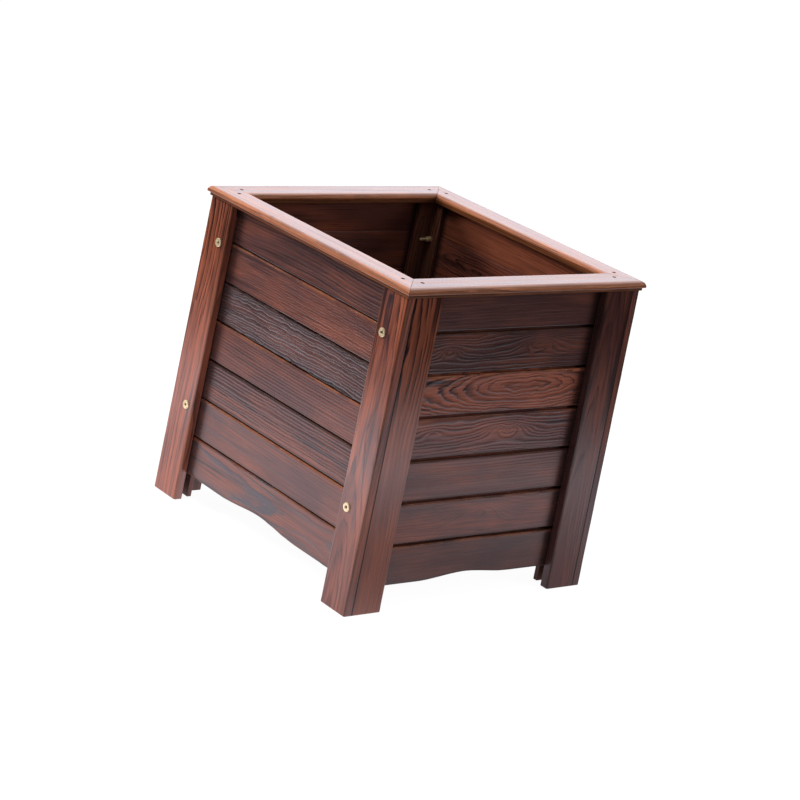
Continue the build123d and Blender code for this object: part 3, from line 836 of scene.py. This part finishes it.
def paint(node, material):
    """Gives a CAD node one material in place of its packed ones."""
    data = frame["nodes"][node].data
    for index in range(len(data.materials)):
        data.materials[index] = material
    if not data.materials:
        data.materials.append(material)


for number, (panel, turn) in enumerate(PANELS.items()):
    dress_panel(panel, turn, PANEL_SEEDS * (number + 1))
for node in frame["nodes"]:
    if node.startswith("rim_board"):
        paint(node, rim_wood["X" if node.endswith(LAPPED) else "Y"])
    elif node.startswith("corner_post"):
        paint(node, inner_wood["Z"])
    elif node.startswith("floor_bearer"):
        paint(node, inner_wood["Y"])
    elif node.startswith("floor_board"):
        paint(node, inner_wood["X"])
    elif node in ("corner_bolts", "corner_nuts"):
        paint(node, brass)
    elif node.endswith("screws"):
        paint(node, screw_steel if node.startswith("rim") else browned_steel)


# ---- stage ----

FLOOR_SIZE = 400.0
FLOOR_DROP = 0.5 * MM         # keeps the floor clear of the feet
FLOOR_ROUGHNESS = 0.9
# glow of the floor as other surfaces see it: beside the box, away from it, and how far off
# the one turns into the other
FLOOR_GLOW = 1.35
FLOOR_GLOW_FAR = 0.08
FLOOR_GLOW_REACH = (0.9, 1.6)
FLOOR_TINT = (1.03, 0.95, 1.05)
# where the box shades the floor, the share of glow there, and how it comes back further off
SHADED_SIDE = (0.84, 0.54, 0.0)
SHADED_RANGE = (-0.1, 0.35, 1.0, 0.36)
BEYOND_RANGE = (0.45, 0.85, 0.0, 0.3)
# what the camera sees of it: its brightness, and how much of a shadow
FLOOR_LIFT = 0.96
FLOOR_SHADE = 0.10


def seen_by_camera(tree):
    """1 where the camera looks straight at a surface."""
    return add(tree, "ShaderNodeLightPath").outputs["Is Camera Ray"]


def floor():
    """Pale floor.

    The camera sees it close to white, with faint shadows. Other surfaces see it glow as
    painted light, bright beside the box and dark far off, with a painted shadow on the side
    the box shades.
    """
    bpy.ops.mesh.primitive_plane_add(size=FLOOR_SIZE)
    plane = bpy.context.object
    plane.name = "stage_floor"
    plane.location.z = -FLOOR_DROP
    material, tree, surface = new_material("pale_floor")
    place = add(tree, "ShaderNodeNewGeometry").outputs["Position"]
    far = add(tree, "ShaderNodeVectorMath", (place,), operation="LENGTH").outputs["Value"]
    glow = smooth_range(tree, far, *FLOOR_GLOW_REACH, FLOOR_GLOW, FLOOR_GLOW_FAR)
    aside = add(tree, "ShaderNodeVectorMath", (place, SHADED_SIDE), operation="DOT_PRODUCT")
    share = smooth_range(tree, aside.outputs["Value"], *SHADED_RANGE)
    beyond = smooth_range(tree, aside.outputs["Value"], *BEYOND_RANGE)
    share = maths(tree, "ADD", share, beyond)
    glow = maths(tree, "MULTIPLY", glow, share)
    camera_ray = seen_by_camera(tree)
    shade = maths(tree, "MULTIPLY", camera_ray, FLOOR_SHADE)
    base = add(tree, "ShaderNodeCombineColor", (shade, shade, shade)).outputs[0]
    tree.links.new(base, surface.inputs["Base Color"])
    surface.inputs["Roughness"].default_value = FLOOR_ROUGHNESS
    surface.inputs["Specular IOR Level"].default_value = 0.0
    tint = mix(tree, camera_ray, FLOOR_TINT, (1.0, 1.0, 1.0))
    tree.links.new(tint, surface.inputs["Emission Color"])
    lift = add(tree, "ShaderNodeMix", (camera_ray,), data_type="FLOAT")
    tree.links.new(glow, lift.inputs[2])
    lift.inputs[3].default_value = FLOOR_LIFT
    tree.links.new(lift.outputs[0], surface.inputs["Emission Strength"])
    plane.data.materials.append(material)


# bright parts of the surroundings: (direction, cosines from its rim to its full part, colour)
GLOWS = [
    ((-0.62, 0.70, 0.30), 0.55, 0.90, (1.30, 1.30, 1.45)),    # behind, seen in the rim
    ((0.0, 0.0, 1.0), 0.30, 0.95, (0.60, 0.60, 0.60)),        # overhead
    ((-0.80, -0.55, 0.45), 0.60, 0.95, (0.34, 0.33, 0.32)),   # front left
]
AMBIENT = (0.08, 0.08, 0.09)
BACKDROP = (0.93, 0.93, 0.94)     # what the camera sees past the floor


def world():
    """Soft surroundings with bright sides; the camera sees plain pale grey."""
    made = bpy.data.worlds.new("soft_world")
    bpy.context.scene.world = made
    made.use_nodes = True
    tree = made.node_tree
    tree.nodes.clear()
    sight = add(tree, "ShaderNodeTexCoord").outputs["Generated"]
    sight = add(tree, "ShaderNodeVectorMath", (sight,), operation="NORMALIZE").outputs[0]
    total = None
    for direction, low, high, colour in GLOWS:
        facing = add(tree, "ShaderNodeVectorMath",
                     (sight, tuple(Vector(direction).normalized())), operation="DOT_PRODUCT")
        share = smooth_range(tree, facing.outputs["Value"], low, high)
        glow = mix(tree, share, (0.0, 0.0, 0.0), colour)
        total = mix(tree, 1.0, total or AMBIENT, glow, "ADD")
    total = mix(tree, seen_by_camera(tree), total, BACKDROP)
    background = add(tree, "ShaderNodeBackground", (total,))
    out = add(tree, "ShaderNodeOutputWorld")
    tree.links.new(background.outputs[0], out.inputs["Surface"])


# name, place, height it is aimed at, side of the square, watts
SOFTBOXES = [
    ("key", (-3.0, -2.1, 1.9), 0.3, 1.4, 180),
    ("top", (-0.2, -1.9, 2.9), 0.4, 0.9, 32),
    ("fill", (2.6, 2.3, 1.5), 0.3, 1.4, 55),
]


def softbox(name, place, aim, side, power):
    """Soft light that leaves no mirror image of itself in the varnish."""
    light = bpy.data.lights.new(name, "AREA")
    light.shape = "RECTANGLE"
    light.size = light.size_y = side
    light.energy = power
    lamp = bpy.data.objects.new(name, light)
    lamp.location = place
    sight = Vector((0, 0, aim)) - Vector(place)
    lamp.rotation_euler = sight.to_track_quat("-Z", "Y").to_euler()
    lamp.visible_glossy = False
    bpy.context.scene.collection.objects.link(lamp)


def camera():
    """Camera at the viewing angle, with a lens shift that only holds at this place."""
    data = bpy.data.cameras.new("camera")
    cam = bpy.data.objects.new("camera", data)
    bpy.context.scene.collection.objects.link(cam)
    bpy.context.scene.camera = cam
    data.sensor_width = CAMERA_SENSOR
    data.lens = CAMERA_LENS
    data.clip_end = CAMERA_REACH
    a, e = math.radians(CAMERA_AZIMUTH), math.radians(CAMERA_ELEVATION)
    back = Vector((math.sin(a) * math.cos(e), -math.cos(a) * math.cos(e), math.sin(e)))
    turn = (-back).to_track_quat("-Z", "Y").to_matrix()
    roll = Matrix.Rotation(math.radians(CAMERA_ROLL), 3, "Z")
    cam.matrix_world = Matrix.Translation(CAMERA_PLACE) @ (turn @ roll).to_4x4()
    in_place = f"abs(height - {CAMERA_PLACE.z:.4f}) < {SHIFT_TOLERANCE}"
    for field, shift in zip(("shift_x", "shift_y"), CAMERA_SHIFT):
        driver = data.driver_add(field).driver
        driver.type = "SCRIPTED"
        variable = driver.variables.new()
        variable.name = "height"
        variable.type = "TRANSFORMS"
        variable.targets[0].id = cam
        variable.targets[0].transform_type = "LOC_Z"
        variable.targets[0].transform_space = "WORLD_SPACE"
        driver.expression = f"{shift} if {in_place} else 0"


floor()
world()
for softbox_row in SOFTBOXES:
    softbox(*softbox_row)
camera()

scene = bpy.context.scene
scene.view_settings.view_transform = "Standard"
scene.view_settings.look = "None"
